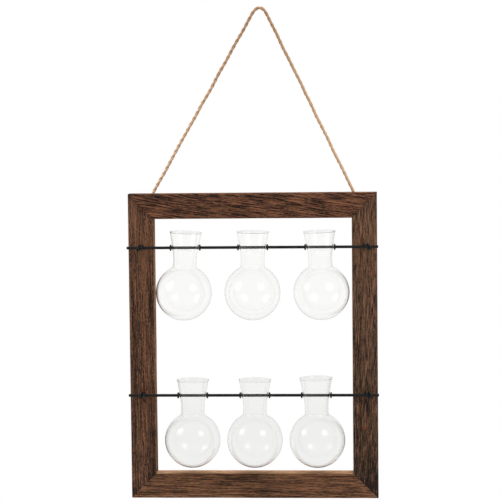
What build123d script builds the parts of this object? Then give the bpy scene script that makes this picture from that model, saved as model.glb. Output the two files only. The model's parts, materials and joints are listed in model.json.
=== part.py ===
from build123d import *
import math
import os

# Hanging propagation station: six drilled glass bulbs threaded on two rods, in front of a mitred
# wooden frame that hangs from a hook by its twine. The origin is the top of the hook, where the
# twine rests on it. X runs to the right, Y runs back to the wall and Z runs up.

# Wooden frame, as wide as the upper row of bulbs needs
frame_height = 310.0
frame_depth = 18.0
rail_width = 25.4
edge_round = 0.6

# V-shaped nails across the mitres, driven in from the back
nail_wing = 4.0
nail_thickness = 0.8
nail_depth = 10.0
outer_nail_inset = 9.0
inner_nail_inset = 18.0

# Twine hanger
hook_radius = 5.6
hook_offset = 8.0  # the hook stands this far to the right of the frame's middle
hanger_rise = 185.0
twine_diameter = 2.6
knot_diameter = 7.0
knot_length = 7.0
knot_round = 1.7
knot_tail = 9.0
knot_clearance = 0.3
hanger_eye_drop = 21.0
left_hanger_inset = 11.1
right_hanger_inset = 13.6

# Screw eyes, each bent from one wire
wire_diameter = 2.2
eye_clearance = 0.25  # rod to ring, with the ring turned out of square
eye_turn = 36.0
eye_bend_radius = 2.0
eye_sweep = 308.0
eye_neck = 1.4
left_eye_inset = 11.7
right_eye_inset = 9.7
screw_depth = 12.0
screw_point = 2.5
screw_point_diameter = 0.3
pilot_clearance = 0.05

# Rods
rod_diameter = 2.9
rod_overhang = 1.0  # past the outer side of each stile
rod_end_round = 0.5

# Blown glass vases, measured from the rod's axis
bulb_diameter = 56.2
neck_drop = 19.94  # down to where the straight neck meets the bulb
base_diameter = 12.0
waist_diameter = 23.8
flare_drop = 8.0
mouth_diameter = 32.0
shoulder_round = 4.0
flare_round = 40.0
glass_wall = 1.0
lip_radius = 0.7
hole_clearance = 0.4

# Rubber rings that keep the vases in place along the rods
ring_section = 1.6
ring_grip_gap = 0.05
ring_clearance = 0.3

# Where the rows hang in the frame
mouth_gap = 12.3  # top rail to the upper rims
base_gap = 7.4  # lower bulbs to the bottom rail

# Each vase's lean in degrees, mouth towards +X, and its rim's height above the rod
mouth_rise = 16.3
tall_mouth_rise = 18.0
upper_vases = {"left": (2.5, mouth_rise), "middle": (0.8, mouth_rise), "right": (-1.6, mouth_rise)}
lower_vases = {"left": (0.8, mouth_rise), "middle": (0.5, mouth_rise), "right": (-1.0, tall_mouth_rise)}

# Gaps between the upper bulbs, and between the outer bulbs and the stiles
upper_bulb_gap = 13.15
upper_left_gap = 2.8
upper_right_gap = 2.5
lower_left_gap = 9.9
lower_right_gap = 7.7

# Radii
twine_radius = twine_diameter / 2
wire_radius = wire_diameter / 2
rod_radius = rod_diameter / 2
bulb_radius = bulb_diameter / 2
waist_radius = waist_diameter / 2
mouth_radius = mouth_diameter / 2
hole_radius = rod_radius + hole_clearance
pilot_radius = wire_radius + pilot_clearance

# The opening takes the upper row with its gaps, and the rods reach past both stiles
frame_width = 3 * bulb_diameter + 2 * upper_bulb_gap + upper_left_gap + upper_right_gap + 2 * rail_width
rod_length = frame_width + 2 * rod_overhang

# A bulb hangs from its neck
bulb_drop = neck_drop + math.sqrt(bulb_radius**2 - waist_radius**2)
base_drop = bulb_drop + math.sqrt(bulb_radius**2 - (base_diameter / 2) ** 2)

# A screw eye's ring lets the rod through although it is turned, and its neck bends into the ring
eye_radius = (rod_radius + eye_clearance + wire_radius) / math.cos(math.radians(eye_turn))
eye_bend_drop = math.sqrt(eye_radius**2 + 2 * eye_radius * eye_bend_radius)
eye_bend_angle = math.degrees(math.acos(eye_bend_radius / (eye_radius + eye_bend_radius)))
eye_standoff = eye_bend_drop + eye_neck

# Places
frame_x = -hook_offset
top_z = -hanger_rise
bottom_z = top_z - frame_height
left_x = frame_x - frame_width / 2
right_x = frame_x + frame_width / 2
opening_left_x = left_x + rail_width
opening_right_x = right_x - rail_width
opening_top_z = top_z - rail_width
opening_bottom_z = bottom_z + rail_width
back_y = -eye_standoff
front_y = back_y - frame_depth
rod_y = front_y - eye_standoff
upper_rod_z = opening_top_z - mouth_gap - mouth_rise
lower_rod_z = opening_bottom_z + base_gap + bulb_drop + bulb_radius
ring_radius = rod_radius + ring_grip_gap + ring_section / 2

os.makedirs("parts", exist_ok=True)


# Corner nails
nail_outline = [
    (0, 0),
    (nail_wing, 0),
    (nail_wing, nail_thickness),
    (nail_thickness, nail_thickness),
    (nail_thickness, nail_wing),
    (0, nail_wing),
]
with BuildPart() as mitre_nails:
    with BuildSketch(Plane.XZ.offset(-back_y)):
        for corner_x, inward_x in ((left_x, 1), (right_x, -1)):
            for corner_z, inward_z in ((top_z, -1), (bottom_z, 1)):
                for inset in (outer_nail_inset, inner_nail_inset):
                    apex_x = corner_x + inward_x * inset
                    apex_z = corner_z + inward_z * inset
                    corners = [(apex_x - inward_x * u, apex_z - inward_z * v) for u, v in nail_outline]
                    Polygon(*corners, align=None)
    extrude(amount=nail_depth)
mitre_nails.part.label = "mitre_nails"
export_step(mitre_nails.part, "parts/mitre_nails.step")


# Rails and stiles, cut at 45 degrees where they meet
outer_corners = [(left_x, top_z), (right_x, top_z), (right_x, bottom_z), (left_x, bottom_z)]
inner_corners = [
    (opening_left_x, opening_top_z),
    (opening_right_x, opening_top_z),
    (opening_right_x, opening_bottom_z),
    (opening_left_x, opening_bottom_z),
]
left_eye_x = left_x + left_eye_inset
right_eye_x = right_x - right_eye_inset
hanger_eye_z = top_z - hanger_eye_drop
left_hanger_x = left_x + left_hanger_inset
right_hanger_x = right_x - right_hanger_inset
members = {
    "top_rail": (0, Axis.X, None, None),
    "right_stile": (1, Axis.Z, right_eye_x, right_hanger_x),
    "bottom_rail": (2, Axis.X, None, None),
    "left_stile": (3, Axis.Z, left_eye_x, left_hanger_x),
}
for name, (first, grain, eye_x, hanger_x) in members.items():
    second = (first + 1) % 4
    with BuildPart() as member:
        with BuildSketch(Plane.XZ.offset(-back_y)):
            Polygon(
                outer_corners[first],
                outer_corners[second],
                inner_corners[second],
                inner_corners[first],
                align=None,
            )
        extrude(amount=frame_depth)
        fillet(member.edges().filter_by(grain), radius=edge_round)
        if eye_x is not None:
            for rod_z in (upper_rod_z, lower_rod_z):
                with Locations(Plane(origin=(eye_x, front_y, rod_z), z_dir=(0, -1, 0))):
                    Hole(radius=pilot_radius, depth=screw_depth + pilot_clearance)
            with Locations(Plane(origin=(hanger_x, back_y, hanger_eye_z), z_dir=(0, 1, 0))):
                Hole(radius=pilot_radius, depth=screw_depth + pilot_clearance)
        add(mitre_nails.part, mode=Mode.SUBTRACT)
    member.part.label = name
    export_step(member.part, f"parts/{name}.step")


# The twine leaves each hanger eye straight for the hook, and lies round the hook's top
hook_centre = Vector(0, 0, -hook_radius)
twine_bend_radius = hook_radius + twine_radius


def hanger_leg(eye, side):
    """The straight leg from an eye: its direction, and the point where it meets the hook."""
    to_hook = hook_centre - eye
    turn = math.degrees(math.asin(twine_bend_radius / to_hook.length))
    direction = to_hook.normalized().rotate(Axis.Y, side * turn)
    run = math.sqrt(to_hook.length**2 - twine_bend_radius**2)
    return direction, eye + direction * run


left_hanger_eye = Vector(left_hanger_x, 0, hanger_eye_z)
right_hanger_eye = Vector(right_hanger_x, 0, hanger_eye_z)
left_leg, left_touch = hanger_leg(left_hanger_eye, -1)
right_leg, right_touch = hanger_leg(right_hanger_eye, 1)


# Screw eyes: front ones hold the rods, back ones hold the twine
front = Vector(0, -1, 0)
back = Vector(0, 1, 0)
rod_axis = Vector(1, 0, 0)
turned_down = rod_axis.rotate(Axis.Y, eye_turn)
turned_up = rod_axis.rotate(Axis.Y, -eye_turn)
hardly_turned = rod_axis.rotate(Axis.Y, -eye_turn / 3)
screw_eyes = {
    "upper_left_rod_eye": (Vector(left_eye_x, rod_y, upper_rod_z), front, turned_down),
    "upper_right_rod_eye": (Vector(right_eye_x, rod_y, upper_rod_z), front, turned_up),
    "lower_left_rod_eye": (Vector(left_eye_x, rod_y, lower_rod_z), front, turned_down),
    "lower_right_rod_eye": (Vector(right_eye_x, rod_y, lower_rod_z), front, hardly_turned),
    "left_hanger_eye": (left_hanger_eye, back, left_leg),
    "right_hanger_eye": (right_hanger_eye, back, right_leg),
}
for name, (centre, outward, through) in screw_eyes.items():
    ring_plane = Plane(origin=centre, x_dir=outward.cross(through), z_dir=through)
    point_base = eye_standoff + screw_depth - screw_point
    with BuildPart() as screw_eye:
        with BuildLine(ring_plane) as wire:
            shank = Line((0, -point_base), (0, -eye_bend_drop))
            bend = JernArc(shank @ 1, shank % 1, eye_bend_radius, -eye_bend_angle)
            JernArc(bend @ 1, bend % 1, eye_radius, eye_sweep)
        with BuildSketch(Plane(origin=shank @ 0, z_dir=outward)):
            Circle(wire_radius)
        sweep(path=wire.wire())
        with BuildSketch(ring_plane):
            Polygon(
                (0, -point_base),
                (wire_radius, -point_base),
                (screw_point_diameter / 2, -point_base - screw_point),
                (0, -point_base - screw_point),
                align=None,
            )
        revolve(axis=Axis(centre, outward))
    screw_eye.part.label = name
    export_step(screw_eye.part, f"parts/{name}.step")


# Twine, from the top of one knot round the hook to the top of the other
knot_seat = wire_radius + knot_clearance
left_end = left_hanger_eye - left_leg * knot_seat
right_end = right_hanger_eye - right_leg * knot_seat
with BuildPart() as hanger_twine:
    with BuildLine() as route:
        Line(left_end, left_touch)
        ThreePointArc(left_touch, (0, 0, twine_radius), right_touch)
        Line(right_touch, right_end)
    with BuildSketch(Plane(origin=left_end, z_dir=left_leg)):
        Circle(twine_radius)
    sweep(path=route.wire())
hanger_twine.part.label = "hanger_twine"
export_step(hanger_twine.part, "parts/hanger_twine.step")
twine_length = route.wire().length
swept_volume = math.pi * twine_radius**2 * twine_length
print("twine: length", round(twine_length, 1), "bend radius", round(twine_bend_radius, 2))
print("twine: volume over section times length", hanger_twine.part.volume / swept_volume)


# Stopper knots, each a barrel of wound twine with its cut tail
for name, top, leg in (("left_twine_knot", left_end, left_leg), ("right_twine_knot", right_end, right_leg)):
    with BuildPart() as knot:
        with BuildSketch(Plane(origin=top, x_dir=(0, 1, 0), z_dir=leg.cross(Vector(0, 1, 0)))):
            Polygon(
                (0, 0),
                (knot_diameter / 2, 0),
                (knot_diameter / 2, knot_length),
                (twine_radius, knot_length),
                (twine_radius, knot_length + knot_tail),
                (0, knot_length + knot_tail),
                align=None,
            )
            fillet(vertices().sort_by(Axis.X)[-2:], radius=knot_round)
        revolve(axis=Axis(top, leg))
    knot.part.label = name
    export_step(knot.part, f"parts/{name}.step")


# Glass vases: an outline turned about a leaning axis, hollowed, lipped and drilled for the rod
flare_slope = (mouth_radius - waist_radius) / (mouth_rise - lip_radius + flare_drop)


def neck_radius(height):
    """The outside of the flared neck at a height above the rod."""
    return waist_radius + flare_slope * (height + flare_drop)


def make_vase(name, hang, lean, rise):
    """One blown bulb that hangs on a rod at the point hang."""
    up = Vector(math.sin(lean), 0, math.cos(lean))
    side = Vector(math.cos(lean), 0, -math.sin(lean))
    rim = rise - lip_radius
    with BuildPart() as vase:
        with BuildSketch(Plane(origin=hang, x_dir=side, z_dir=(0, -1, 0))):
            with BuildLine():
                Polyline((base_diameter / 2, -base_drop), (0, -base_drop), (0, rim), (neck_radius(rim), rim))
                Line((neck_radius(rim), rim), (waist_radius, -flare_drop))
                Line((waist_radius, -flare_drop), (waist_radius, -neck_drop))
                ThreePointArc(
                    (waist_radius, -neck_drop),
                    (bulb_radius, -bulb_drop),
                    (base_diameter / 2, -base_drop),
                )
            make_face()
            fillet(vertices().sort_by_distance((waist_radius, -flare_drop))[0], radius=flare_round)
            fillet(vertices().sort_by_distance((waist_radius, -neck_drop))[0], radius=shoulder_round)
        revolve(axis=Axis(hang, up))
        offset(amount=-glass_wall, openings=vase.faces().sort_by(Axis(hang, up))[-1])
        with Locations(Plane(origin=hang + up * rim, x_dir=side, z_dir=up)):
            Torus(neck_radius(rim) - glass_wall / 2, lip_radius)
        with Locations(Plane(origin=hang, z_dir=rod_axis)):
            Cylinder(hole_radius, mouth_diameter, mode=Mode.SUBTRACT)
    vase.part.label = name
    export_step(vase.part, f"parts/{name}.step")


def make_rod(name, z):
    """A straight bar with rounded ends, centred on the frame."""
    with BuildPart() as rod:
        with BuildSketch(Plane(origin=(frame_x - rod_length / 2, rod_y, z), z_dir=rod_axis)):
            Circle(rod_radius)
        extrude(amount=rod_length)
        fillet(rod.edges().filter_by(GeomType.CIRCLE), radius=rod_end_round)
    rod.part.label = name
    export_step(rod.part, f"parts/{name}.step")


def make_ring(name, x, z):
    """A round-section rubber ring on a rod."""
    with BuildPart() as ring:
        with Locations(Plane(origin=(x, rod_y, z), z_dir=rod_axis)):
            Torus(ring_radius, ring_section / 2)
    ring.part.label = name
    export_step(ring.part, f"parts/{name}.step")


# A ring stops against the flared neck where its own top edge reaches
ring_reach = neck_radius(ring_radius) + ring_section / 2 + ring_clearance
rows = {
    "upper": (upper_rod_z, upper_vases, upper_left_gap, upper_right_gap),
    "lower": (lower_rod_z, lower_vases, lower_left_gap, lower_right_gap),
}
for row, (rod_z, vases, left_gap, right_gap) in rows.items():
    make_rod(f"{row}_rod", rod_z)
    left_bulb_x = opening_left_x + left_gap + bulb_radius
    right_bulb_x = opening_right_x - right_gap - bulb_radius
    bulb_places = {"left": left_bulb_x, "middle": (left_bulb_x + right_bulb_x) / 2, "right": right_bulb_x}
    for place, (lean_degrees, rise) in vases.items():
        lean = math.radians(lean_degrees)
        hang_x = bulb_places[place] + bulb_drop * math.sin(lean)
        make_vase(f"{row}_{place}_vase", Vector(hang_x, rod_y, rod_z), lean, rise)
        make_ring(f"{row}_{place}_vase_left_ring", hang_x - ring_reach, rod_z)
        make_ring(f"{row}_{place}_vase_right_ring", hang_x + ring_reach, rod_z)
        print(row, place, "vase hangs at", round(hang_x, 3), round(rod_y, 3), round(rod_z, 3))
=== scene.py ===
import json
import math

import bpy
import numpy as np
from mathutils import Matrix, Vector


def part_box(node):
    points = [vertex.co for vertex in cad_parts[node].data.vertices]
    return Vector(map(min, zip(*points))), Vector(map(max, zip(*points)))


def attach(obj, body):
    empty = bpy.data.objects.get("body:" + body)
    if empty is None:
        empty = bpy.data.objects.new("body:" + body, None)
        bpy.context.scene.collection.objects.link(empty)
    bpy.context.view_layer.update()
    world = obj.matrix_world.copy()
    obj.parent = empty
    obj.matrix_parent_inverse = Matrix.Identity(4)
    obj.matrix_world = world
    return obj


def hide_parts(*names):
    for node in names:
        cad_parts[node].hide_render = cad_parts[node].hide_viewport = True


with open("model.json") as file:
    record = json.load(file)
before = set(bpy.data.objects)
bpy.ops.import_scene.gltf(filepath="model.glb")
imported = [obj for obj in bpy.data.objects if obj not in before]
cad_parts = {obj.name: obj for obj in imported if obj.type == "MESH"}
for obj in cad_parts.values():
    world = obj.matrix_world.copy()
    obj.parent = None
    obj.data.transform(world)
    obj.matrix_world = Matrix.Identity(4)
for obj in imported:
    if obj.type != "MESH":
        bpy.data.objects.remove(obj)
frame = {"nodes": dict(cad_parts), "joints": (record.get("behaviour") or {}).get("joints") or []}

# A hanging propagation station: stained wooden frame, black rods, blown glass bulbs and jute twine.
# Sizes are in millimetres and angles in degrees, in the part's own frame: X points right, Y back to
# the wall, and Z up from the hook.
MM = 0.001
BACK = np.array([0.0, 1.0, 0.0])  # the direction to the wall
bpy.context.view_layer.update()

# Camera, as the picture was taken
CAMERA_EYE = np.array([117.4, -2023.7, -94.2])
CAMERA_YAW = 3.656
CAMERA_PITCH = 4.224
CAMERA_ROLL = -0.6
CAMERA_REACH = 50000.0
FOCAL_PIXELS = 1994.8
PICTURE_PIXELS = 500
SENSOR = 36.0

# Room, with strengths of light at which 1 is white
ROOM_LIGHT = 0.24
CEILING_LIGHT = 8.0
CEILING_POWER = 8.0  # how steeply the light grows towards the ceiling
FRONT_REFLECTION = 0.15
BACK_REFLECTION = 0.75
EDGE_LIGHT = 0.9  # what glass seen edge-on gathers from the room's sides
ONE_WALL = 2.5  # a wall of glass bends light twice, so light under this has crossed one wall
BOTH_WALLS = 3.5  # and light over this has crossed both
FLOOR_HEIGHT = -640.0
FLOOR_SIDE = 12000.0
FLOOR_NEAR = 300.0  # as far as this the floor takes the shadow
FLOOR_FAR = 620.0  # and from here on it is as white as the room
FLOOR_FRONT = 0.35  # its strength in reflections, in front of the object
FLOOR_BACK = 0.8  # and behind it
FLOOR_TURN = 1500.0  # how far out it has these two strengths
SOFTBOXES = {"left_softbox": (-580, -300, -10), "right_softbox": (430, -505, 0)}
SOFTBOX_TARGET = (-8, -20, -340)
SOFTBOX_SIZE = 540.0
SOFTBOX_WATTS = 1.7
SOFTBOX_MIDDLE = 1.8  # strength in its middle, where an even lamp has 1

# Twine route, in X and Z: from the left knot over the hook to the right knot
TWINE_ROUTE = [
    (-123.094, -207.216),
    (-12.1, -13.1),
    (-4.0, 1.3),
    (4.3, 1.3),
    (11.3, -13.1),
    (104.506, -207.262),
]
TWINE_STEP = 0.5
TWINE_SEED = 11
END_POINTS = 4  # points of the line that give the direction of its end
TWINE_WAVE = 1.1  # the legs keep slight bends from the ball
WAVE_SIZE = (20.0, 400.0, 400.0)  # a slow drift through the noise keeps the bends uneven
WAVE_SEED = 71
STRAIGHT_AT_KNOTS = (25.0, 60.0)  # how far from a knot the bends begin, and are full
STRAIGHT_AT_HOOK = (10.0, 40.0)  # and the same from the hook

# The twine's two plies
TWINE_LAY = 12.8  # one full turn of the plies
PLY_RADIUS = 1.24
PLY_OFFSET = 0.46
PLY_SIDES = 16
BUNDLES = 5  # fibre bundles round a ply
BUNDLE_TURN = 2.6  # how many of them pass in each turn of the lay
BUNDLE_SWELL = 0.05
FLECK_LENGTH = 3.0
FLECK_AROUND = 2.0  # radius of a ply in the noise that gives its flecks
FLECK_APART = 7.0  # and the place of the second ply there
FLECK_SWELL = 0.12
PLY_TONE = 0.61
# painted shade: each ply is darker on its side towards the other ply, where the plies meet
PLY_GROOVE_SHADE = 0.03
BUNDLE_TONE = 0.06
FLECK_TONE = 0.22
TWINE_FADE = 0.6  # the twine is paler at the frame than at the hook, where it is handled

# Stopper knots at the twine's ends, each a wrapped barrel with a cut tail
KNOT_LENGTH = 7.0
KNOT_TAIL = 9.0
TAIL_END = KNOT_LENGTH + KNOT_TAIL
KNOT_SEEDS = (41, 61)
CORE_POINTS = 48
FRAY_LENGTH = 5.0
FRAY_THIN = 0.5
FRAY_OPEN = 0.3
WRAP_TURNS = 2.1
WRAP_POINTS = 140
WRAP_STEP = 0.35
WRAP_RADIUS = 2.3
WRAP_TUCK = (-0.06, 0.1)  # the shares of the wrap over which an end is drawn in
WRAP_PLY_RADIUS = 0.62
WRAP_PLY_OFFSET = 0.46
WRAP_SEED = 5  # more than the knot's own

# Loose hairs along the twine, and brushes of them at its cut tails
FUZZ_SEED = 31
FIBRES = 320
FIBRE_ROOT = 1.0  # how far from the twine's line a hair leaves it
FIBRE_LENGTHS = (2.0, 5.5)
FIBRE_CURLS = (0.1, 0.5)
FIBRE_RINGS = 5
FIBRE_RADIUS = 0.05
FIBRE_TAPER = 0.75
FIBRE_TONE = 0.85
BRUSH_FIBRES = 30
BRUSH_LENGTHS = (2.0, 4.0)
BRUSH_SPREAD = 0.55
BRUSH_INSET = 1.0

# Brushed wood
OUTLINE_STEP = 0.3
GRAIN_STEP = 1.5
EDGE_ROUND = 0.6
EDGE_POINTS = 5
EDGE_RISE = (0.02, 0.25)  # how far an edge has turned where its wear begins, and is full
EDGE_WEAR = 0.1  # the round edges are worn paler
EDGE_CONTRAST = 0.2  # and more so on the ridges
BACK_SINK = 0.08  # the back lies this far under the saw cut, so the nails stay proud of it
FURROW_DEPTH = 0.25
BURNT_RISE = (0.08, 0.38)  # values of the noise between which a burnt streak sets in
BURNT_FURROW = 0.75
FLECK_RISE = (0.0, 0.5)
FLECK_FURROW = 0.6
MITRE_GROOVE = 0.08
STAIN_REACH = 12.0  # how far the end grain drew the stain in
GRAIN_WAVE = (45.0, 14.0, 14.0)
PIN_KNOT_COLOUR = "#8a4a2a"
PIN_KNOT_AREA = 2.2
PIN_KNOT_SWELL = (9.0, 3.2)  # the stretch of grain lines that swells round the knot
PIN_KNOT_PUSH = 2.4
# The sides towards the opening took less stain, and carry painted light from above, most of all the bottom
# rail's upward side
BARE_AND_LIT_STOPS = [(0.0, "#a87a56"), (1.0, "#d8ab84")]
HUE_SHARE = 0.35  # how far neighbouring fibres differ in hue
MIX_A, MIX_B, MIXED = 6, 7, 2  # the colour sockets of a mix node

# What the members' wood has in common, and then each one's own. slant and wave: how the grain lines
# lean and wander. fleck, burnt and band: sizes of three noises along the grain, across it and into it.
# contrast, char and bands: their strengths. fibres: length, width and strength of the drawn lines.
# tone: the mean tone. fade: how much paler the second end is than the first. ends: how dark the stain
# is at the first and at the second. bare_and_lit: how pale the side towards the opening is, partly less
# stain and partly painted light from above. knot: where a pin knot sits. stops: the stain.
COMMON_WOOD = {
    "wave": 1.0,
    "contrast": 0.4,
    "char": 0.2,
    "bands": 0.5,
    "fade": 0.0,
    "ends": (0.0, 0.0),
    "bare_and_lit": 0.35,
}
WOODS = {
    "top_rail": {
        "seed": 3,
        "slant": -8.5,
        "fleck": (30.0, 0.55, 0.55),
        "burnt": (20.0, 1.2, 1.2),
        "band": (90.0, 9.0, 9.0),
        "fibres": [(20.0, 0.42, 1.1), (3.5, 0.42, 0.45)],
        "tone": 0.45,
        "contrast": 0.8,
        "char": 0.4,
        "bands": 0.3,
        "stops": [(0.0, "#261c19"), (0.35, "#4c352a"), (0.65, "#704d39"), (1.0, "#946347")],
    },
    "left_stile": {
        "seed": 113,
        "slant": 0.5,
        "wave": 0.6,
        "fleck": (60.0, 0.5, 0.5),
        "burnt": (90.0, 3.0, 3.0),
        "band": (140.0, 8.0, 8.0),
        "fibres": [(24.0, 0.38, 0.65), (2.6, 0.38, 0.55)],
        "tone": 0.5,
        "bands": 0.9,
        "fade": 0.9,
        "ends": (0.08, 0.75),
        "stops": [(0.0, "#2a201b"), (0.35, "#4d382c"), (0.65, "#6d4d39"), (1.0, "#8a6147")],
    },
    "right_stile": {
        "seed": 223,
        "slant": 1.0,
        "wave": 1.2,
        "fleck": (40.0, 0.5, 0.5),
        "burnt": (30.0, 1.6, 1.6),
        "band": (60.0, 4.0, 4.0),
        "fibres": [(14.0, 0.38, 1.0), (2.8, 0.38, 0.45)],
        "tone": 0.425,
        "char": 0.16,
        "fade": 0.85,
        "ends": (0.4, 0.45),
        "knot": (72.0, 13.5),
        "stops": [(0.0, "#261f1a"), (0.35, "#46362b"), (0.65, "#664b3b"), (1.0, "#8c674e")],
    },
    "bottom_rail": {
        "seed": 331,
        "slant": 1.0,
        "fleck": (60.0, 0.6, 0.6),
        "burnt": (60.0, 1.6, 1.6),
        "band": (70.0, 4.0, 4.0),
        "fibres": [(20.0, 0.45, 0.5), (4.0, 0.45, 0.3)],
        "tone": 0.55,
        # its upward side is painted much paler, as painted light from above
        "bare_and_lit": 0.85,
        "stops": [(0.0, "#2c2017"), (0.35, "#50392a"), (0.65, "#6f4e39"), (1.0, "#8e6347")],
    },
}


# Screw eyes on the front, each bent from one wire
WIRE_RADIUS = 1.1
WIRE_SIDES = 16
WIRE_STEP = 0.25
WIRE_END = 0.98  # how far the wire's round end is closed before its cap
EYE_RADIUS = 3.461
EYE_BEND = 2.0
BEND_POINTS = 12
LOOP_SWEEP = 560.0  # a coil of one and a half turns
LOOP_POINTS = 160
LOOP_PITCH = 3.3  # along the rod, for each turn
LOOP_LEAN = 2.1  # the bend leads to one side, so that the coil stands over the shank
SCREW_POINT = 2.5
SCREW_TIP = 0.1  # thickness at the tip, as a share of the wire's

# Glass bulbs, measured from the rod's axis along each bulb's own axis
BULB_RADIUS = 28.1
BULB_DROP = 45.396
BASE_DROP = 72.848
WAIST_RADIUS = 11.9
FLARE_DROP = 8.0
MOUTH_RADIUS = 16.0
MOUTH_RISE = 16.3
SHOULDER_DROP = 20.0  # from here up to the mouth the glass grows thinner
SHOULDER_ROUND = 4.0
FLARE_ROUND = 40.0
GLASS_WALL = 0.6
LIP_RADIUS = 0.7
FLARE_SLOPE = (MOUTH_RADIUS - WAIST_RADIUS) / (MOUTH_RISE - LIP_RADIUS + FLARE_DROP)
HOLE_RADIUS = 1.85
HOLE_SEGMENTS = 32
HOLE_EDGE = 45.0  # edges sharper than this stay sharp
BULB_SEGMENTS = 128
FOOT_RINGS = 7
BALL_RINGS = 96
SHOULDER_RINGS = 16
WAIST_RINGS = 6
FLARE_RINGS = 14
NECK_RINGS = 22
LIP_RINGS = 24
# The tints of each row of bulbs, in the bulb and at its rim. The lower row's greyer tint is painted shade,
# for the darker part of the room that row shows
GLASS_TINTS_AND_ROW_SHADE = {"upper": ("#fdfdfc", "#fefefd"), "lower": ("#f8f8f7", "#fafaf9")}


# Helpers
def node_corners(node):
    """The lowest and highest corner of a CAD node, in millimetres."""
    low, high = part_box(node)
    return np.array(low) / MM, np.array(high) / MM


def linear(hex_colour):
    """A colour written as sRGB hex, in linear light, with full alpha."""
    channels = np.array([int(hex_colour[i : i + 2], 16) for i in (1, 3, 5)]) / 255
    low = channels / 12.92
    high = ((channels + 0.055) / 1.055) ** 2.4
    return (*np.where(channels <= 0.04045, low, high), 1.0)


def ring_angles(count):
    """Angles spread evenly round a circle, in radians."""
    return np.arange(count) * 2 * math.pi / count


def unit(vectors):
    """The same directions, each with a length of 1."""
    return vectors / np.linalg.norm(vectors, axis=-1, keepdims=True)


def turned(angle, start, square):
    """Directions turned by an angle from a start towards the direction square to it."""
    return np.cos(angle)[..., None] * start + np.sin(angle)[..., None] * square


def arc(centre, radius, start, stop, count):
    """Points on a circle from one angle to another, in degrees."""
    angles = np.radians(np.linspace(start, stop, count))
    return np.array(centre) + radius * np.stack([np.cos(angles), np.sin(angles)], axis=1)


def between(first, last, count):
    """Points spread evenly between two others, which are left out."""
    return first + (last - first) * np.linspace(0, 1, count + 2)[1:-1, None]


def smooth_step(low, high, value):
    """0 below low, 1 above high, with a smooth rise between."""
    t = np.clip((value - low) / (high - low), 0, 1)
    return t * t * (3 - 2 * t)


def gradient_noise(points, seed):
    """Gradient noise about 0: at each corner of a unit lattice a random slope, blended by a quintic."""
    draw = np.random.default_rng(seed)
    order = np.tile(draw.permutation(256), 2)
    slopes = unit(draw.normal(size=(256, 3)))
    cell = np.floor(points).astype(int)
    inside = points - cell
    blend = inside**3 * (inside * (inside * 6 - 15) + 10)
    total = np.zeros(len(points))
    for corner in np.ndindex(2, 2, 2):
        x, y, z = ((cell + corner) % 256).T
        slope = slopes[order[order[order[x] + y] + z]]
        weight = np.where(np.array(corner) == 1, blend, 1 - blend).prod(axis=1)
        total += weight * np.einsum("ij,ij->i", slope, inside - corner)
    return total


def layered_noise(points, seed, layers=3):
    """Gradient noise summed in layers, each half as large and twice as fine as the last."""
    return sum(gradient_noise(points * 2**k, seed + k) / 2**k for k in range(layers))


def grid_quads(rows, columns):
    """The quads of a grid of points stored row by row, closed from its last column to its first."""
    row, column = np.meshgrid(np.arange(rows - 1), np.arange(columns), indexing="ij")
    right = (column + 1) % columns
    corners = [row * columns + column, row * columns + right]
    corners += [(row + 1) * columns + right, (row + 1) * columns + column]
    return np.stack(corners, axis=-1).reshape(-1, 4)


def tube_faces(rows, columns, start=0):
    """The faces of a tube whose points are stored ring by ring from a start: its quads and two caps."""
    first = start + np.arange(columns)
    caps = [first[::-1], first + (rows - 1) * columns]
    return (grid_quads(rows, columns) + start).tolist() + [cap.tolist() for cap in caps]


def new_object(name, data):
    """A new object in the scene, from its mesh, lamp or lens."""
    thing = bpy.data.objects.new(name, data)
    bpy.context.scene.collection.objects.link(thing)
    return thing


def new_shape(name, points, faces):
    """A new mesh object in the scene, with its points in millimetres."""
    mesh = bpy.data.meshes.new(name)
    mesh.from_pydata(points * MM, [], faces)
    mesh.update()
    return new_object(name, mesh)


def make_piece(name, points, faces, material, body="frame"):
    """A smooth mesh piece in its place, which rides on a body."""
    piece = new_shape(name, points, faces)
    piece.data.shade_smooth()
    piece.data.materials.append(material)
    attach(piece, body)
    return piece


def mesh_points(mesh):
    """The places of a mesh's vertices, one row for each."""
    points = np.zeros(len(mesh.vertices) * 3)
    mesh.vertices.foreach_get("co", points)
    return points.reshape(-1, 3)


def point_attribute(piece, name, values):
    """A number, or a row of three, at each point of a piece, for its material to read."""
    values = np.asarray(values, np.float32)
    vectors = values.size > len(piece.data.vertices)
    attribute = piece.data.attributes.new(name, "FLOAT_VECTOR" if vectors else "FLOAT", "POINT")
    attribute.data.foreach_set("vector" if vectors else "value", values.ravel())


# Materials
def start_material(name, **values):
    """A new node material and its shader, with the values that are the same all over."""
    material = bpy.data.materials.new(name)
    material.use_nodes = True
    shader = material.node_tree.nodes["Principled BSDF"]
    for socket, value in values.items():
        shader.inputs[socket.replace("_", " ")].default_value = value
    return material, shader


def add(owner, kind, settings=None, links=None, **values):
    """One node of a material, lamp or world: its own settings, its input values by name, and its links
    from other sockets."""
    node = owner.node_tree.nodes.new(kind)
    for name, value in (settings or {}).items():
        setattr(node, name, value)
    for name, value in values.items():
        node.inputs[name.replace("_", " ")].default_value = value
    for target, source in (links or {}).items():
        owner.node_tree.links.new(source, node.inputs[target])
    return node


def set_ramp(ramp, stops):
    """The colours of a ramp, as pairs of place and hex."""
    elements = ramp.color_ramp.elements
    while len(elements) < len(stops):
        elements.new(0.5)
    for element, (place, colour) in zip(elements, stops):
        element.position = place
        element.color = linear(colour)


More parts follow.
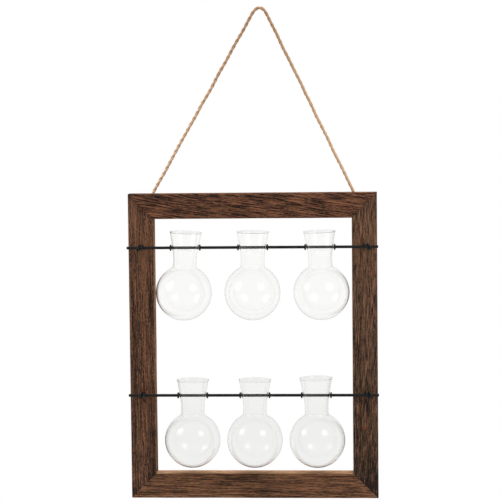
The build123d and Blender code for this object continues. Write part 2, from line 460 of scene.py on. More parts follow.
def dress(material, shader, pattern, stops, roughness=None):
    """One pattern gives a surface its colour, over a ramp, and its roughness, if that varies too."""
    link = material.node_tree.links.new
    ramp = add(material, "ShaderNodeValToRGB", links={"Fac": pattern})
    set_ramp(ramp, stops)
    link(ramp.outputs["Color"], shader.inputs["Base Color"])
    if roughness:
        low, high = roughness
        gloss = add(material, "ShaderNodeMapRange", links={"Value": pattern}, To_Min=low, To_Max=high)
        link(gloss.outputs["Result"], shader.inputs["Roughness"])


def brushed_pine(name, wood):
    """Softwood, wire-brushed and stained dark: red-brown ridges over near-black furrows, no gloss. Long
    lines and short bristles are drawn about 0.4 mm wide, coarser than real ones, so that they show."""
    material, shader = start_material(name, Specular_IOR_Level=0.1)
    link = material.node_tree.links.new
    place = add(material, "ShaderNodeAttribute", {"attribute_name": "drawn"}).outputs["Vector"]
    tone = add(material, "ShaderNodeAttribute", {"attribute_name": "grain"}).outputs["Fac"]
    for length, width, strength in wood["fibres"]:
        size = (length, width, width)
        drawn = add(material, "ShaderNodeMapping", {"vector_type": "TEXTURE"}, {"Vector": place}, Scale=size)
        fibre = add(
            material,
            "ShaderNodeTexNoise",
            links={"Vector": drawn.outputs["Vector"]},
            Scale=1.0,
            Detail=1.0,
            Roughness=0.35,
        )
        fine = add(
            material,
            "ShaderNodeMapRange",
            {"clamp": False},
            {"Value": fibre.outputs["Fac"]},
            From_Min=0.3,
            From_Max=0.7,
            To_Min=-strength,
            To_Max=strength,
        )
        links = {0: tone, 1: fine.outputs["Result"]}
        tone = add(material, "ShaderNodeMath", {"operation": "ADD"}, links).outputs["Value"]
    ramp = add(material, "ShaderNodeValToRGB", links={"Fac": tone})
    set_ramp(ramp, wood["stops"])
    hues = add(
        material,
        "ShaderNodeMix",
        {"data_type": "RGBA", "blend_type": "OVERLAY"},
        {MIX_A: ramp.outputs["Color"], MIX_B: fibre.outputs["Color"]},
        Factor=HUE_SHARE,
    )
    # Painted light from above, with less stain: the side towards the opening goes over to a paler ramp
    bare_and_lit_colour = add(material, "ShaderNodeValToRGB", links={"Fac": tone})
    set_ramp(bare_and_lit_colour, BARE_AND_LIT_STOPS)
    bare_and_lit = add(material, "ShaderNodeAttribute", {"attribute_name": "bare_and_lit"}).outputs["Fac"]
    links = {"Factor": bare_and_lit, MIX_A: hues.outputs[MIXED], MIX_B: bare_and_lit_colour.outputs["Color"]}
    sides = add(material, "ShaderNodeMix", {"data_type": "RGBA"}, links)
    knot = add(material, "ShaderNodeAttribute", {"attribute_name": "knot"}).outputs["Fac"]
    links = {"Factor": knot, MIX_A: sides.outputs[MIXED]}
    heart = add(material, "ShaderNodeMix", {"data_type": "RGBA"}, links)
    heart.inputs[MIX_B].default_value = linear(PIN_KNOT_COLOUR)
    link(heart.outputs[MIXED], shader.inputs["Base Color"])
    rough = add(material, "ShaderNodeMapRange", links={"Value": tone}, To_Min=0.9, To_Max=0.7)
    link(rough.outputs["Result"], shader.inputs["Roughness"])
    bump = add(material, "ShaderNodeBump", links={"Height": tone}, Strength=0.6, Distance=0.2 * MM)
    link(bump.outputs["Normal"], shader.inputs["Normal"])
    return material


def blown_glass(row, tint_and_shade, rim_tint_and_shade):
    """Clear soda-lime glass, fire-finished: hardly a colour of its own, clean highlights and dark rims.
    It was blown thinner towards the rim, so that the mouth takes less light than the bulb. It bends
    light less than real glass does, so that its walls show as faintly as in the picture."""
    # Each row of bulbs gets its own copy; the lower row's is greyer, as painted shade
    name = f"blown_soda_lime_glass_with_row_shade_{row}"
    material, shader = start_material(name, Roughness=0.0, IOR=1.35, Transmission_Weight=1.0)
    thin = add(material, "ShaderNodeAttribute", {"attribute_name": "thin"}).outputs["Fac"]
    dress(material, shader, thin, [(0.0, tint_and_shade), (1.0, rim_tint_and_shade)])
    place = add(material, "ShaderNodeTexCoord").outputs["Object"]
    swirl_size = 14 * MM
    swirl = add(material, "ShaderNodeTexNoise", links={"Vector": place}, Scale=1 / swirl_size, Detail=1.0)
    height = swirl.outputs["Fac"]
    bump = add(material, "ShaderNodeBump", links={"Height": height}, Strength=0.05, Distance=0.3 * MM)
    material.node_tree.links.new(bump.outputs["Normal"], shader.inputs["Normal"])
    return material


def coated_steel():
    """Mild steel wire in satin black lacquer: a soft long highlight and a faint orange peel."""
    material, shader = start_material("black_lacquered_steel", Specular_IOR_Level=0.3)
    place = add(material, "ShaderNodeTexCoord").outputs["Object"]
    peel_size = 0.8 * MM
    noise = add(material, "ShaderNodeTexNoise", links={"Vector": place}, Scale=1 / peel_size, Detail=2.0)
    peel = noise.outputs["Fac"]
    dress(material, shader, peel, [(0.35, "#131212"), (0.65, "#1d1b1b")], roughness=(0.3, 0.5))
    bump = add(material, "ShaderNodeBump", links={"Height": peel}, Strength=0.3, Distance=0.05 * MM)
    material.node_tree.links.new(bump.outputs["Normal"], shader.inputs["Normal"])
    return material


def moulded_rubber():
    """Black nitrile rubber rings: matt, with a dusty grey bloom in patches."""
    material, shader = start_material("black_nitrile_rubber")
    place = add(material, "ShaderNodeTexCoord").outputs["Object"]
    bloom_size = 1.5 * MM
    bloom = add(material, "ShaderNodeTexNoise", links={"Vector": place}, Scale=1 / bloom_size, Detail=3.0)
    stops = [(0.4, "#0c0c0c"), (0.75, "#1f1d1d")]
    dress(material, shader, bloom.outputs["Fac"], stops, roughness=(0.5, 0.8))
    return material


def nail_steel():
    """Bare rolled steel strip, cut and bent: grey metal with fine drawn lines."""
    material, shader = start_material("bare_rolled_steel", Metallic=1.0)
    place = add(material, "ShaderNodeTexCoord").outputs["Object"]
    line_width = 0.2 * MM
    line_length = 4 * MM
    size = (1 / line_width, 1 / line_length, 1 / line_width)
    stretched = add(material, "ShaderNodeMapping", links={"Vector": place}, Scale=size)
    links = {"Vector": stretched.outputs["Vector"]}
    lines = add(material, "ShaderNodeTexNoise", links=links, Scale=1.0, Detail=2.0)
    stops = [(0.3, "#77767a"), (0.7, "#a3a2a4")]
    dress(material, shader, lines.outputs["Fac"], stops, roughness=(0.25, 0.5))
    return material


def jute():
    """Natural two-ply jute: dull straw-brown fibres laid along each ply, with painted shade where the plies
    meet.
    """
    material, shader = start_material("natural_jute_twine", Roughness=0.9, Sheen_Weight=0.2)
    grain = add(material, "ShaderNodeAttribute", {"attribute_name": "grain"})
    place = add(material, "ShaderNodeTexCoord").outputs["Object"]
    hair_size = 0.5 * MM
    noise = add(material, "ShaderNodeTexNoise", links={"Vector": place}, Scale=1 / hair_size, Detail=3.0)
    hairs = noise.outputs["Fac"]
    fine = add(
        material,
        "ShaderNodeMapRange",
        links={"Value": hairs},
        From_Min=0.3,
        From_Max=0.7,
        To_Min=-0.15,
        To_Max=0.15,
    )
    links = {0: grain.outputs["Fac"], 1: fine.outputs["Result"]}
    tone = add(material, "ShaderNodeMath", {"operation": "ADD"}, links).outputs["Value"]
    stops = [(0.0, "#9c7555"), (0.4, "#be9570"), (0.7, "#d8b08b"), (1.0, "#e8c7a4")]
    dress(material, shader, tone, stops)
    bump = add(material, "ShaderNodeBump", links={"Height": hairs}, Strength=0.4, Distance=0.1 * MM)
    material.node_tree.links.new(bump.outputs["Normal"], shader.inputs["Normal"])
    return material


# Twine
def twine_line():
    """The points of the twine's smooth line: a quadratic NURBS over the route's points."""
    curve = bpy.data.curves.new("twine_line", "CURVE")
    curve.dimensions = "3D"
    spline = curve.splines.new("NURBS")
    spline.points.add(len(TWINE_ROUTE) - 1)
    for point, (x, z) in zip(spline.points, TWINE_ROUTE):
        point.co = (x, 0.0, z, 1.0)
    spline.order_u = 3
    spline.use_endpoint_u = True
    spline.resolution_u = 64
    carrier = bpy.data.objects.new("twine_line", curve)
    mesh = bpy.data.meshes.new_from_object(carrier)
    line = mesh_points(mesh)
    bpy.data.meshes.remove(mesh)
    bpy.data.curves.remove(curve)
    return line


def evenly(line, step):
    """A line again, with points a step apart, and the distance along it at each."""
    lengths = np.linalg.norm(np.diff(line, axis=0), axis=1)
    along = np.concatenate([[0], np.cumsum(lengths)])
    places = np.linspace(0, along[-1], int(along[-1] / step) + 1)
    return np.stack([np.interp(places, along, line[:, k]) for k in range(3)], axis=1), places


def side_frames(line, reference):
    """Directions at each point of a line: along it, the reference made square to it, and the third."""
    tangent = unit(np.gradient(line, axis=0))
    across = np.broadcast_to(np.asarray(reference, float), line.shape)
    across = unit(across - tangent * np.einsum("ij,ij->i", tangent, across)[:, None])
    return tangent, across, np.cross(tangent, across)


def twisted_plies(line, places, ply_radius, offset, seed, reference=BACK, phase=0.0, start=0):
    """Two plies about a line: each ply's middle circles the line once a lay, right-handed, and each
    ply is a tube whose radius swells with its fibre bundles. Gives points, faces that count the points
    from a start, and a tone."""
    _, across, up = side_frames(line, reference)
    ring = ring_angles(PLY_SIDES)
    around = np.stack([np.cos(ring), np.sin(ring)], axis=1) * FLECK_AROUND
    ply_radius = np.broadcast_to(ply_radius, places.shape)[:, None]
    offset = np.broadcast_to(offset, places.shape)[:, None]
    points, faces, tones = [], [], []
    for ply in range(2):
        turn = phase + places / TWINE_LAY * 2 * math.pi + ply * math.pi
        outward = turned(turn, across, up)
        middle = line + outward * offset
        angle = ring[None, :] + turn[:, None]
        bundles = np.cos(BUNDLES * ring[None, :] - BUNDLE_TURN * turn[:, None])
        lattice = np.zeros((*angle.shape, 3))
        lattice[..., 0] = places[:, None] / FLECK_LENGTH
        lattice[..., 1:] = around + (0, FLECK_APART * ply)
        fleck = layered_noise(lattice.reshape(-1, 3), seed + ply).reshape(angle.shape)
        radius = ply_radius * (1 + BUNDLE_SWELL * bundles + FLECK_SWELL * fleck)
        spoke = turned(angle, across[:, None], up[:, None])
        facing = np.einsum("ijk,ik->ij", spoke, outward)
        points.append((middle[:, None] + spoke * radius[..., None]).reshape(-1, 3))
        faces += tube_faces(len(line), PLY_SIDES, start + ply * angle.size)
        # The facing term is painted shade: darker on the side of each ply that meets the other
        tone = PLY_TONE + PLY_GROOVE_SHADE * facing + BUNDLE_TONE * bundles + FLECK_TONE * fleck
        tones.append(tone.ravel())
    return np.concatenate(points), faces, np.concatenate(tones)


def make_twine(material, line, places):
    """The hanger: two jute plies along the route."""
    points, faces, tones = twisted_plies(line, places, PLY_RADIUS, PLY_OFFSET, TWINE_SEED)
    tones += TWINE_FADE * (points[:, 2] / line[0, 2] - 0.5)
    twine = make_piece("jute_hanger_twine", points, faces, material)
    point_attribute(twine, "grain", tones)
    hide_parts("hanger_twine")


def make_knot(node, material, top, down, phase, seed):
    """A stopper knot: the twine's end runs straight down and frays, and a helix of thinner twine is
    wrapped round it, with both of its ends drawn in to the core."""
    places = np.linspace(0, TAIL_END, CORE_POINTS)
    fray = smooth_step(TAIL_END - FRAY_LENGTH, TAIL_END, places)
    core_radius = PLY_RADIUS * (1 - FRAY_THIN * fray)
    core_offset = PLY_OFFSET * (1 + FRAY_OPEN * fray)
    core_line = top + places[:, None] * down
    core = twisted_plies(core_line, places, core_radius, core_offset, seed, phase=phase)
    share = np.linspace(0, 1, WRAP_POINTS)
    spoke = turned(share * WRAP_TURNS * 2 * math.pi, -BACK, np.cross(down, BACK))
    reach = WRAP_RADIUS * smooth_step(*WRAP_TUCK, share) * smooth_step(*WRAP_TUCK, 1 - share)
    half = WRAP_PLY_RADIUS + WRAP_PLY_OFFSET
    drop = half + share * (KNOT_LENGTH - 2 * half)
    wrap_line = top + spoke * reach[:, None] + drop[:, None] * down
    wrap_line, wrap_places = evenly(wrap_line, WRAP_STEP)
    outward = wrap_line - top
    outward = outward - np.einsum("ij,j->i", outward, down)[:, None] * down
    ply = (WRAP_PLY_RADIUS, WRAP_PLY_OFFSET)
    wrap = twisted_plies(wrap_line, wrap_places, *ply, seed + WRAP_SEED, outward, start=len(core[0]))
    points = np.concatenate([core[0], wrap[0]])
    knot = make_piece(f"jute_{node}", points, core[1] + wrap[1], material)
    point_attribute(knot, "grain", np.concatenate([core[2], wrap[2]]))
    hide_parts(node)
    return knot


def make_fuzz(material, line, tails):
    """Loose hairs: each leaves the twine along its line and lifts away by the square of its length, as
    a three-sided fibre that thins to its tip. The cut tails end in short brushes of them."""
    draw = np.random.default_rng(FUZZ_SEED)
    tangent, across, up = side_frames(line, BACK)
    at = draw.integers(END_POINTS, len(line) - END_POINTS, FIBRES)
    lift = turned(draw.uniform(0, 2 * math.pi, FIBRES), across[at], up[at])
    roots = line[at] + lift * FIBRE_ROOT
    ahead = tangent[at] * draw.choice([-1, 1], FIBRES)[:, None]
    reach = draw.uniform(*FIBRE_LENGTHS, FIBRES)
    for top, down in tails:
        brush = draw.normal(size=(BRUSH_FIBRES, 3)) * BRUSH_SPREAD
        roots = np.concatenate([roots, top + down * (TAIL_END - BRUSH_INSET) + brush])
        ahead = np.concatenate([ahead, np.tile(down, (BRUSH_FIBRES, 1))])
        lift = np.concatenate([lift, brush])
        reach = np.concatenate([reach, draw.uniform(*BRUSH_LENGTHS, BRUSH_FIBRES)])
    steps = np.linspace(0, 1, FIBRE_RINGS)
    curl = draw.uniform(*FIBRE_CURLS, len(reach))
    path = roots[:, None] + ahead[:, None] * (reach[:, None] * steps)[..., None]
    path += lift[:, None] * ((reach * curl)[:, None] * steps**2)[..., None]
    third = np.cross(ahead, lift)
    third /= np.linalg.norm(third, axis=1, keepdims=True) + 1e-9
    spoke = turned(ring_angles(3), lift[:, None], third[:, None])
    thin = FIBRE_RADIUS * (1 - FIBRE_TAPER * steps)
    points = path[:, :, None] + spoke[:, None] * thin[:, None, None]
    each = len(steps) * 3
    starts = np.arange(len(reach)) * each
    quads = (grid_quads(len(steps), 3) + starts[:, None, None]).reshape(-1, 4)
    ends = np.concatenate([starts[:, None] + (2, 1, 0), starts[:, None] + each - 3 + np.arange(3)])
    faces = quads.tolist() + ends.tolist()
    fuzz = make_piece("jute_fuzz", points.reshape(-1, 3), faces, material)
    point_attribute(fuzz, "grain", np.full(len(fuzz.data.vertices), FIBRE_TONE))
    return fuzz


def make_hanger(material):
    """The twine with its two knots and its loose hairs. Its legs bend to the sides by a noise, which
    fades out at the knots and at the hook."""
    line, places = evenly(twine_line(), TWINE_STEP)
    hook = places[line[:, 2].argmax()]
    free = smooth_step(*STRAIGHT_AT_KNOTS, places) * smooth_step(*STRAIGHT_AT_KNOTS, places[-1] - places)
    free *= smooth_step(*STRAIGHT_AT_HOOK, np.abs(places - hook))
    bends = gradient_noise(places[:, None] / WAVE_SIZE, WAVE_SEED)
    line[:, 0] += TWINE_WAVE * bends * free
    ends = []
    for first, second in ((0, END_POINTS), (-1, -1 - END_POINTS)):
        ends.append((line[first], unit(line[first] - line[second])))
    last_turn = places[-1] / TWINE_LAY * 2 * math.pi
    knots = [
        make_knot("left_twine_knot", material, *ends[0], 0.0, KNOT_SEEDS[0]),
        make_knot("right_twine_knot", material, *ends[1], last_turn, KNOT_SEEDS[1]),
    ]
    fuzz = make_fuzz(material, line, ends)
    make_twine(material, line, places)


# Wooden frame
def rounded_outline(width, depth):
    """A rectangle with round corners, as points and outward directions: four arcs and four sides."""
    middles = [(width - EDGE_ROUND, EDGE_ROUND), (width - EDGE_ROUND, depth - EDGE_ROUND)]
    middles += [(EDGE_ROUND, depth - EDGE_ROUND), (EDGE_ROUND, EDGE_ROUND)]
    middles = np.array(middles)
    points, outward = [], []
    for k, middle in enumerate(middles):
        corner = arc((0, 0), 1.0, 90 * k - 90, 90 * k, EDGE_POINTS)
        side = corner[-1]
        start = middle + EDGE_ROUND * side
        stop = middles[(k + 1) % 4] + EDGE_ROUND * side
        count = int(np.linalg.norm(stop - start) / OUTLINE_STEP)
        points += [middle + EDGE_ROUND * corner, between(start, stop, count)]
        outward += [corner, np.tile(side, (count, 1))]
    return np.concatenate(points), np.concatenate(outward)


def grain_pattern(along, across, deep, slope, wood):
    """Tone, furrow depth, knot and grain coordinates of brushed wood. Of three noises stretched along
    the grain, broad bands and fine flecks are added to the tone, and burnt streaks taken away. The
    grain lines slant, wave, and swell round the knot."""
    place = np.stack([along, across, deep], axis=-1).reshape(-1, 3)
    seed = wood["seed"]
    wave = gradient_noise(place / GRAIN_WAVE, seed) * wood["wave"]
    line = place[:, 1] + (slope * along).ravel() + wave
    heart = np.zeros(len(place))
    if "knot" in wood:
        from_knot = place[:, :2] - wood["knot"]
        away = from_knot / PIN_KNOT_SWELL
        line -= PIN_KNOT_PUSH * np.sign(away[:, 1]) * np.exp(-(away**2).sum(axis=1))
        heart = np.exp(-(from_knot**2).sum(axis=1) / PIN_KNOT_AREA)
    drawn = np.stack([place[:, 0], line, place[:, 2] + seed], axis=-1)
    fleck = layered_noise(drawn / wood["fleck"], seed + 10, 2)
    burnt = gradient_noise(drawn / wood["burnt"], seed + 20)
    broad = gradient_noise(drawn / wood["band"], seed + 30)
    dark = smooth_step(*BURNT_RISE, burnt)
    tone = wood["tone"] + wood["contrast"] * fleck - wood["char"] * dark + wood["bands"] * broad
    furrow = np.clip(BURNT_FURROW * dark + FLECK_FURROW * smooth_step(*FLECK_RISE, -fleck), 0, 1)
    shape = along.shape
    return tone.reshape(shape), furrow.reshape(shape), heart, drawn


def make_member(node, wood, opening):
    """A mitred rail or stile: a rounded outline carried along the grain, shorter towards the opening,
    and sunk by its furrows along the outline's own outward directions. Its tone fades along the grain,
    darkens at its ends by an exponential, and is paler on the worn edges."""
    low, high = node_corners(node)
    grain = (high - low).argmax()
    width_axis = 2 - grain
    inward = np.sign(opening[width_axis] - (low + high)[width_axis] / 2)
    length = high[grain] - low[grain]
    outline, outward = rounded_outline(high[width_axis] - low[width_axis], high[1] - low[1])
    share = np.linspace(0, 1, int(length / GRAIN_STEP))[:, None]
    across = np.broadcast_to(outline[:, 0], (len(share), len(outline)))
    deep = np.broadcast_to(outline[:, 1], across.shape)
    along = across + share * (length - 2 * across)
    slope = math.tan(math.radians(wood["slant"])) * (1 - np.abs(outward[:, 0]))
    tone, furrow, heart, drawn = grain_pattern(along, across, deep, slope, wood)
    from_first = along - across
    from_last = length - across - along
    mitre = np.exp(-np.minimum(from_first, from_last) / MITRE_GROOVE)
    soaked = wood["ends"][0] * np.exp(-from_first / STAIN_REACH)
    soaked += wood["ends"][1] * np.exp(-from_last / STAIN_REACH)
    sunk = BACK_SINK * (outward[:, 1] > 0.5) + FURROW_DEPTH * furrow + MITRE_GROOVE * mitre
    worn = smooth_step(*EDGE_RISE, 1 - np.abs(outward).max(axis=1))
    # The side towards the opening is painted paler: partly less stain, partly painted light from above
    bare_and_lit = wood["bare_and_lit"] * (outward[:, 0] > 0.5)
    fade = wood["fade"] * (along / length - 0.5)
    tone = tone + fade - soaked + worn * (EDGE_WEAR + EDGE_CONTRAST * tone)
    edge = high[width_axis] if inward < 0 else low[width_axis]
    points = np.zeros((*along.shape, 3))
    points[..., grain] = low[grain] + along
    points[..., width_axis] = edge + inward * (across - sunk * outward[:, 0])
    points[..., 1] = low[1] + deep - sunk * outward[:, 1]
    faces = tube_faces(*along.shape)
    # The faces point inwards where width, depth and grain make a left-handed set
    if inward * np.linalg.det(np.eye(3)[[width_axis, 1, grain]]) < 0:
        faces = [face[::-1] for face in faces]
    material = brushed_pine(f"brushed_stained_pine_{node}", wood)
    member = make_piece(f"brushed_{node}", points.reshape(-1, 3), faces, material)
    point_attribute(member, "grain", tone)
    point_attribute(member, "drawn", drawn)
    point_attribute(member, "knot", heart)
    point_attribute(member, "bare_and_lit", np.broadcast_to(bare_and_lit, along.shape))
    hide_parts(node)


# Screw eyes
def make_eye(node, material):
    """A screw eye bent from one wire: a pointed shank, a bend to one side, and a coil whose turns lie
    side by side along the rod, so that each of them clears it alike. The wire is a round tube."""
    low, high = node_corners(node)
    middle = (low + high) / 2
    middle[1] = low[1] + EYE_RADIUS + WIRE_RADIUS
    turn = math.asin(((high[0] - low[0]) / 2 - WIRE_RADIUS) / EYE_RADIUS)
    if node.endswith("right_rod_eye"):
        turn = -turn
    side = np.array([math.sin(turn), 0, math.cos(turn)])
    through = np.array([math.cos(turn), 0, -math.sin(turn)])
    bend_drop = math.sqrt(EYE_RADIUS**2 + 2 * EYE_RADIUS * EYE_BEND)
    bend_turn = math.degrees(math.acos(EYE_BEND / (EYE_RADIUS + EYE_BEND)))
    bend = arc((EYE_BEND, -bend_drop), EYE_BEND, 180, 180 - bend_turn, BEND_POINTS)
    coil = arc((0, 0), EYE_RADIUS, -bend_turn, LOOP_SWEEP - bend_turn, LOOP_POINTS)
    flat = np.concatenate([[(0, middle[1] - high[1])], bend, coil[1:]])
    lean = -LOOP_LEAN * smooth_step(0, 1, np.linspace(0, 1, len(bend)))
    turns = np.linspace(0, LOOP_SWEEP / 360, len(coil))[1:]
    slip = np.zeros((len(flat), 3))
    slip[1:, 0] = np.append(lean, LOOP_PITCH * turns - LOOP_LEAN)
    line = middle + flat[:, :1] * side - flat[:, 1:] * BACK + slip
    line, places = evenly(line, WIRE_STEP)
    end = np.clip(1 - (places[-1] - places) / WIRE_RADIUS, 0, WIRE_END)
    thick = WIRE_RADIUS * np.clip(places / SCREW_POINT, SCREW_TIP, 1) * np.sqrt(1 - end**2)
    _, across, up = side_frames(line, through)
    spoke = turned(ring_angles(WIRE_SIDES), across[:, None], up[:, None])
    points = (line[:, None] + spoke * thick[:, None, None]).reshape(-1, 3)
    faces = tube_faces(len(line), WIRE_SIDES)
    eye = make_piece(f"coiled_{node}", points, faces, material)
    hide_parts(node)


# Glass bulbs
def wall_profile(inset, rim, rim_radius):
    """Radius and height of one face of the glass, from the base up to the rim. The inner face has the
    outer one's centres, and radii that differ by the wall."""
    ball = BULB_RADIUS - inset
    base = BASE_DROP - inset
    base_edge = math.sqrt(ball**2 - (base - BULB_DROP) ** 2)
    shoulder_x = WAIST_RADIUS + SHOULDER_ROUND
    shoulder_up = math.sqrt((BULB_RADIUS + SHOULDER_ROUND) ** 2 - shoulder_x**2)
    shoulder_middle = (shoulder_x, shoulder_up - BULB_DROP)
    tangent = math.degrees(math.atan2(shoulder_up, shoulder_x))
    flare = math.degrees(math.atan(FLARE_SLOPE))
    flare_z = -FLARE_DROP - FLARE_ROUND * math.tan(math.radians(flare / 2))
    flare_middle = (WAIST_RADIUS + FLARE_ROUND, flare_z)
    bottom = math.degrees(math.atan2(BULB_DROP - base, base_edge))
    foot_radii = np.linspace(0, base_edge, FOOT_RINGS, endpoint=False)
    foot = np.stack([foot_radii, np.full(FOOT_RINGS, -base)], axis=1)
    round_ball = arc((0, -BULB_DROP), ball, bottom, tangent, BALL_RINGS)
    shoulder = arc(shoulder_middle, SHOULDER_ROUND + inset, 180 + tangent, 180, SHOULDER_RINGS)
    sweep = arc(flare_middle, FLARE_ROUND + inset, 180, 180 - flare, FLARE_RINGS)
    waist = between(shoulder[-1], sweep[0], WAIST_RINGS)
    neck = between(sweep[-1], np.array([rim_radius - inset, rim]), NECK_RINGS)
    return np.concatenate([foot, round_ball, shoulder[1:], waist, sweep, neck])


def bulb_profile(rise):
    """The whole section of a bulb: up the outside, over the round lip, and down the inside."""
    rim = rise - LIP_RADIUS
    rim_radius = WAIST_RADIUS + FLARE_SLOPE * (rim + FLARE_DROP)
    lip_turn = math.degrees(math.acos(GLASS_WALL / 2 / LIP_RADIUS))
    lip_middle = (rim_radius - GLASS_WALL / 2, rim)
    lip = arc(lip_middle, LIP_RADIUS, -lip_turn, 180 + lip_turn, LIP_RINGS)
    below_lip = rim - LIP_RADIUS * math.sin(math.radians(lip_turn))
    outer = wall_profile(0.0, rim, rim_radius)
    inner = wall_profile(GLASS_WALL, rim, rim_radius)
    outer = outer[outer[:, 1] < below_lip]
    inner = inner[inner[:, 1] < below_lip]
    return np.concatenate([outer, lip, inner[::-1]])


def make_bulb(row, place, material):
    """A blown bulb: its section turned about its own leaning axis, then drilled along the rod."""
    name = f"{row}_{place}_vase"
    low, high = node_corners(name)
    hang = next(np.array(j["pos_m"]) / MM for j in frame["joints"] if j["child"] == name)
    lean = math.asin((hang[0] - (low[0] + high[0]) / 2) / BULB_DROP)
    side = np.array([math.cos(lean), 0, -math.sin(lean)])
    up = np.array([math.sin(lean), 0, math.cos(lean)])
    profile = bulb_profile((high[2] - hang[2]) / math.cos(lean) - MOUTH_RADIUS * abs(math.tan(lean)))
    wheel = turned(ring_angles(BULB_SEGMENTS), side, BACK)
    rings = profile[1:-1]
    points = hang + rings[:, :1, None] * wheel + rings[:, 1:, None] * up
    points = np.concatenate([points.reshape(-1, 3), hang + profile[[0, -1], 1:] * up])
    quads = grid_quads(len(rings), BULB_SEGMENTS)
    around = np.arange(BULB_SEGMENTS)
    following = np.roll(around, -1)
    inside = (len(rings) - 1) * BULB_SEGMENTS
    pole = len(points) - 2
    fans = [np.stack([following, around, np.full_like(around, pole)], axis=1)]
    fans += [np.stack([around + inside, following + inside, np.full_like(around, pole + 1)], axis=1)]
    faces = quads.tolist() + np.concatenate(fans).tolist()
    bulb = make_piece(f"blown_{name}", points, faces, material, name)
    drill(bulb, hang)
    height = (mesh_points(bulb.data) / MM - hang) @ up
    point_attribute(bulb, "thin", smooth_step(-SHOULDER_DROP, MOUTH_RISE, height))
    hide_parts(name)


def drill(bulb, hang):
    """Cuts the rod's hole through both sides of the neck: a round bar along X is taken away."""
    turn = ring_angles(HOLE_SEGMENTS)
    reach = MOUTH_RADIUS * 2
    ring = HOLE_RADIUS * np.stack([0 * turn, np.cos(turn), np.sin(turn)], axis=1)
    points = np.concatenate([hang + ring - (reach, 0, 0), hang + ring + (reach, 0, 0)])
    bar = new_shape("drill", points, tube_faces(2, HOLE_SEGMENTS))
    cut = bulb.modifiers.new("drill", "BOOLEAN")
    cut.operation = "DIFFERENCE"
    cut.solver = "EXACT"
    cut.object = bar
    shown = bulb.evaluated_get(bpy.context.evaluated_depsgraph_get())
    drilled = bpy.data.meshes.new_from_object(shown)
    bulb.modifiers.clear()
    whole = bulb.data
    bulb.data = drilled
    drilled.shade_smooth()
    drilled.set_sharp_from_angle(angle=math.radians(HOLE_EDGE))
    bpy.data.meshes.remove(whole)
    bpy.data.meshes.remove(bar.data)  # the bar goes with its mesh


def finish_nodes(kind, material):
    """Gives a finish to the CAD nodes whose name ends in a word."""
    for name, node in frame["nodes"].items():
        if name.endswith(kind):
            node.data.materials.clear()
            node.data.materials.append(material)


# Studio
def aim_camera():
    """The camera at its eye, turned by yaw, pitch and roll."""
    yaw, pitch, roll = np.radians([CAMERA_YAW, CAMERA_PITCH, CAMERA_ROLL])
    level = np.array([math.cos(yaw), math.sin(yaw), 0])
    forward = np.array([-math.sin(yaw), math.cos(yaw), 0])
    ahead = math.cos(pitch) * forward - math.sin(pitch) * np.array([0, 0, 1])
    upright = np.cross(level, ahead)
    right = math.cos(roll) * level + math.sin(roll) * upright
    up = math.cos(roll) * upright - math.sin(roll) * level
    lens = bpy.data.cameras.new("camera")
    lens.sensor_width = SENSOR
    lens.lens = FOCAL_PIXELS / PICTURE_PIXELS * SENSOR
    lens.clip_end = CAMERA_REACH * MM
    camera = new_object("camera", lens)
    matrix = np.eye(4)
    matrix[:3, :3] = np.stack([right, up, -ahead], axis=1)
    matrix[:3, 3] = CAMERA_EYE * MM
    camera.matrix_world = Matrix(matrix)
    bpy.context.scene.camera = camera


def add_softbox(name, place):
    """A round soft light that faces the object: brightest in its middle and dark at its edge, as one
    lamp behind cloth gives. Its strength falls from middle to edge by a smooth step."""
    lamp = bpy.data.lights.new(name, "AREA")
    lamp.shape = "DISK"
    lamp.size = SOFTBOX_SIZE * MM
    lamp.energy = SOFTBOX_WATTS
    lamp.use_nodes = True
    spot = add(lamp, "ShaderNodeNewGeometry").outputs["Parametric"]
    centred = add(lamp, "ShaderNodeMapping", links={"Vector": spot}, Location=(-1, -1, 0), Scale=(2, 2, 0))
    distance = add(lamp, "ShaderNodeVectorMath", {"operation": "LENGTH"}, {0: centred.outputs["Vector"]})
    fall = add(
        lamp,
        "ShaderNodeMapRange",
        {"interpolation_type": "SMOOTHSTEP"},
        {"Value": distance.outputs["Value"]},
        To_Min=SOFTBOX_MIDDLE,
        To_Max=0.0,
    )
    emission = lamp.node_tree.nodes["Emission"]
    lamp.node_tree.links.new(fall.outputs["Result"], emission.inputs["Strength"])
    box = new_object(name, lamp)
    away = Vector(np.array(place, float) - SOFTBOX_TARGET)
    box.matrix_world = Matrix.LocRotScale(Vector(place) * MM, away.to_track_quat("Z", "Y"), None)
    box.visible_camera = False


def glass_view(owner, rays):
    """What glass shows of the room: white through both walls, and dimmer where the light has crossed
    only one wall or the solid lip, which gathers it from the sides."""
    return add(
        owner,
        "ShaderNodeMapRange",
        links={"Value": rays.outputs["Transmission Depth"]},
        From_Min=ONE_WALL,
        From_Max=BOTH_WALLS,
        To_Min=EDGE_LIGHT,
    ).outputs["Result"]


def by_ray(owner, is_kind, otherwise, chosen=None):
    """One of two strengths, by whether the ray is of a kind. It is white where none is chosen."""
    links = {"Value": is_kind, "To Min": otherwise}
    if chosen is not None:
        links["To Max"] = chosen
    return add(owner, "ShaderNodeMapRange", links=links).outputs["Result"]


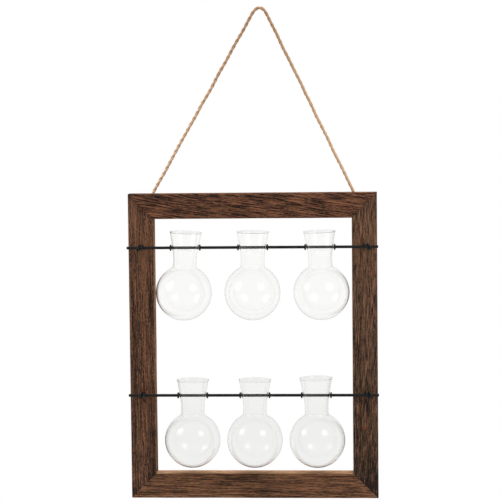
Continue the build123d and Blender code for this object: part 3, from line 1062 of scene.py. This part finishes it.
def studio_world():
    """A white room: white where the camera or glass looks at it, dim on the camera's side in
    reflections, and on everything else an even light that grows towards the ceiling with a power of
    the height."""
    world = bpy.data.worlds.new("white_room")
    world.use_nodes = True
    background = world.node_tree.nodes["Background"]
    rays = add(world, "ShaderNodeLightPath")
    direction = add(world, "ShaderNodeTexCoord").outputs["Generated"]
    parts = add(world, "ShaderNodeSeparateXYZ", links={"Vector": direction})
    above = add(world, "ShaderNodeMath", {"operation": "MAXIMUM"}, {0: parts.outputs["Z"]})
    above.inputs[1].default_value = 0.0
    steep = add(world, "ShaderNodeMath", {"operation": "POWER"}, {0: above.outputs["Value"]})
    steep.inputs[1].default_value = CEILING_POWER
    links = {"Value": steep.outputs["Value"]}
    shed = add(world, "ShaderNodeMapRange", links=links, To_Min=ROOM_LIGHT, To_Max=CEILING_LIGHT)
    mirrored = add(
        world,
        "ShaderNodeMapRange",
        links={"Value": parts.outputs["Y"]},
        From_Min=-1.0,
        To_Min=FRONT_REFLECTION,
        To_Max=BACK_REFLECTION,
    ).outputs["Result"]
    strength = by_ray(world, rays.outputs["Is Glossy Ray"], shed.outputs["Result"], mirrored)
    strength = by_ray(world, rays.outputs["Is Transmission Ray"], strength, glass_view(world, rays))
    strength = by_ray(world, rays.outputs["Is Camera Ray"], strength)
    world.node_tree.links.new(strength, background.inputs["Strength"])
    background.inputs["Color"].default_value = linear("#ffffff")
    bpy.context.scene.world = world


def pale_floor():
    """A wide matt floor under the hanging frame. It takes the shadow near the object. Further off, and
    wherever glass or lacquer shows it, it goes over into the white of the room."""
    side = FLOOR_SIDE / 2
    corners = [(-side, -side), (side, -side), (side, side), (-side, side)]
    corners = np.column_stack([corners, np.full(4, FLOOR_HEIGHT)])
    floor = new_shape("floor", corners, [(0, 1, 2, 3)])
    material, shader = start_material(
        "matt_white_floor_paint",
        Base_Color=linear("#ecebe8"),
        Roughness=0.8,
        Specular_IOR_Level=0.2,
    )
    place = add(material, "ShaderNodeTexCoord").outputs["Object"]
    flat = add(material, "ShaderNodeMapping", links={"Vector": place}, Scale=(1, 1, 0))
    links = {0: flat.outputs["Vector"]}
    distance = add(material, "ShaderNodeVectorMath", {"operation": "LENGTH"}, links)
    far = add(
        material,
        "ShaderNodeMapRange",
        {"interpolation_type": "SMOOTHSTEP"},
        {"Value": distance.outputs["Value"]},
        From_Min=FLOOR_NEAR * MM,
        From_Max=FLOOR_FAR * MM,
    )
    rays = add(material, "ShaderNodeLightPath")
    depth = add(material, "ShaderNodeSeparateXYZ", links={"Vector": place}).outputs["Y"]
    shed = add(
        material,
        "ShaderNodeMapRange",
        links={"Value": depth},
        From_Min=-FLOOR_TURN * MM,
        From_Max=FLOOR_TURN * MM,
        To_Min=FLOOR_FRONT,
        To_Max=FLOOR_BACK,
    ).outputs["Result"]
    seen = glass_view(material, rays)
    strength = by_ray(material, rays.outputs["Is Transmission Ray"], shed, seen)
    strength = by_ray(material, rays.outputs["Is Camera Ray"], strength)
    white = add(material, "ShaderNodeEmission", links={"Strength": strength})
    links = {0: far.outputs["Result"], 1: rays.outputs["Is Glossy Ray"]}
    share = add(material, "ShaderNodeMath", {"operation": "MAXIMUM"}, links)
    links = {0: share.outputs["Value"], 1: shader.outputs["BSDF"], 2: white.outputs["Emission"]}
    blend = add(material, "ShaderNodeMixShader", links=links)
    output = material.node_tree.nodes["Material Output"]
    material.node_tree.links.new(blend.outputs["Shader"], output.inputs["Surface"])
    floor.data.materials.append(material)


make_hanger(jute())
opening_middle = np.mean([node_corners(node) for node in WOODS], axis=(0, 1))
for member_node, member_wood in WOODS.items():
    make_member(member_node, COMMON_WOOD | member_wood, opening_middle)
# The lower row's glass is tinted greyer than the upper's, as painted shade
for bulb_row, tints_and_row_shade in GLASS_TINTS_AND_ROW_SHADE.items():
    glass = blown_glass(bulb_row, *tints_and_row_shade)
    for bulb_place in ("left", "middle", "right"):
        make_bulb(bulb_row, bulb_place, glass)
lacquer = coated_steel()
finish_nodes("_rod", lacquer)
finish_nodes("_hanger_eye", lacquer)
for eye_node in [name for name in frame["nodes"] if name.endswith("_rod_eye")]:
    make_eye(eye_node, lacquer)
finish_nodes("_ring", moulded_rubber())
finish_nodes("_nails", nail_steel())

aim_camera()
studio_world()
pale_floor()
for softbox_name, softbox_place in SOFTBOXES.items():
    add_softbox(softbox_name, softbox_place)
bpy.context.scene.view_settings.view_transform = "Standard"
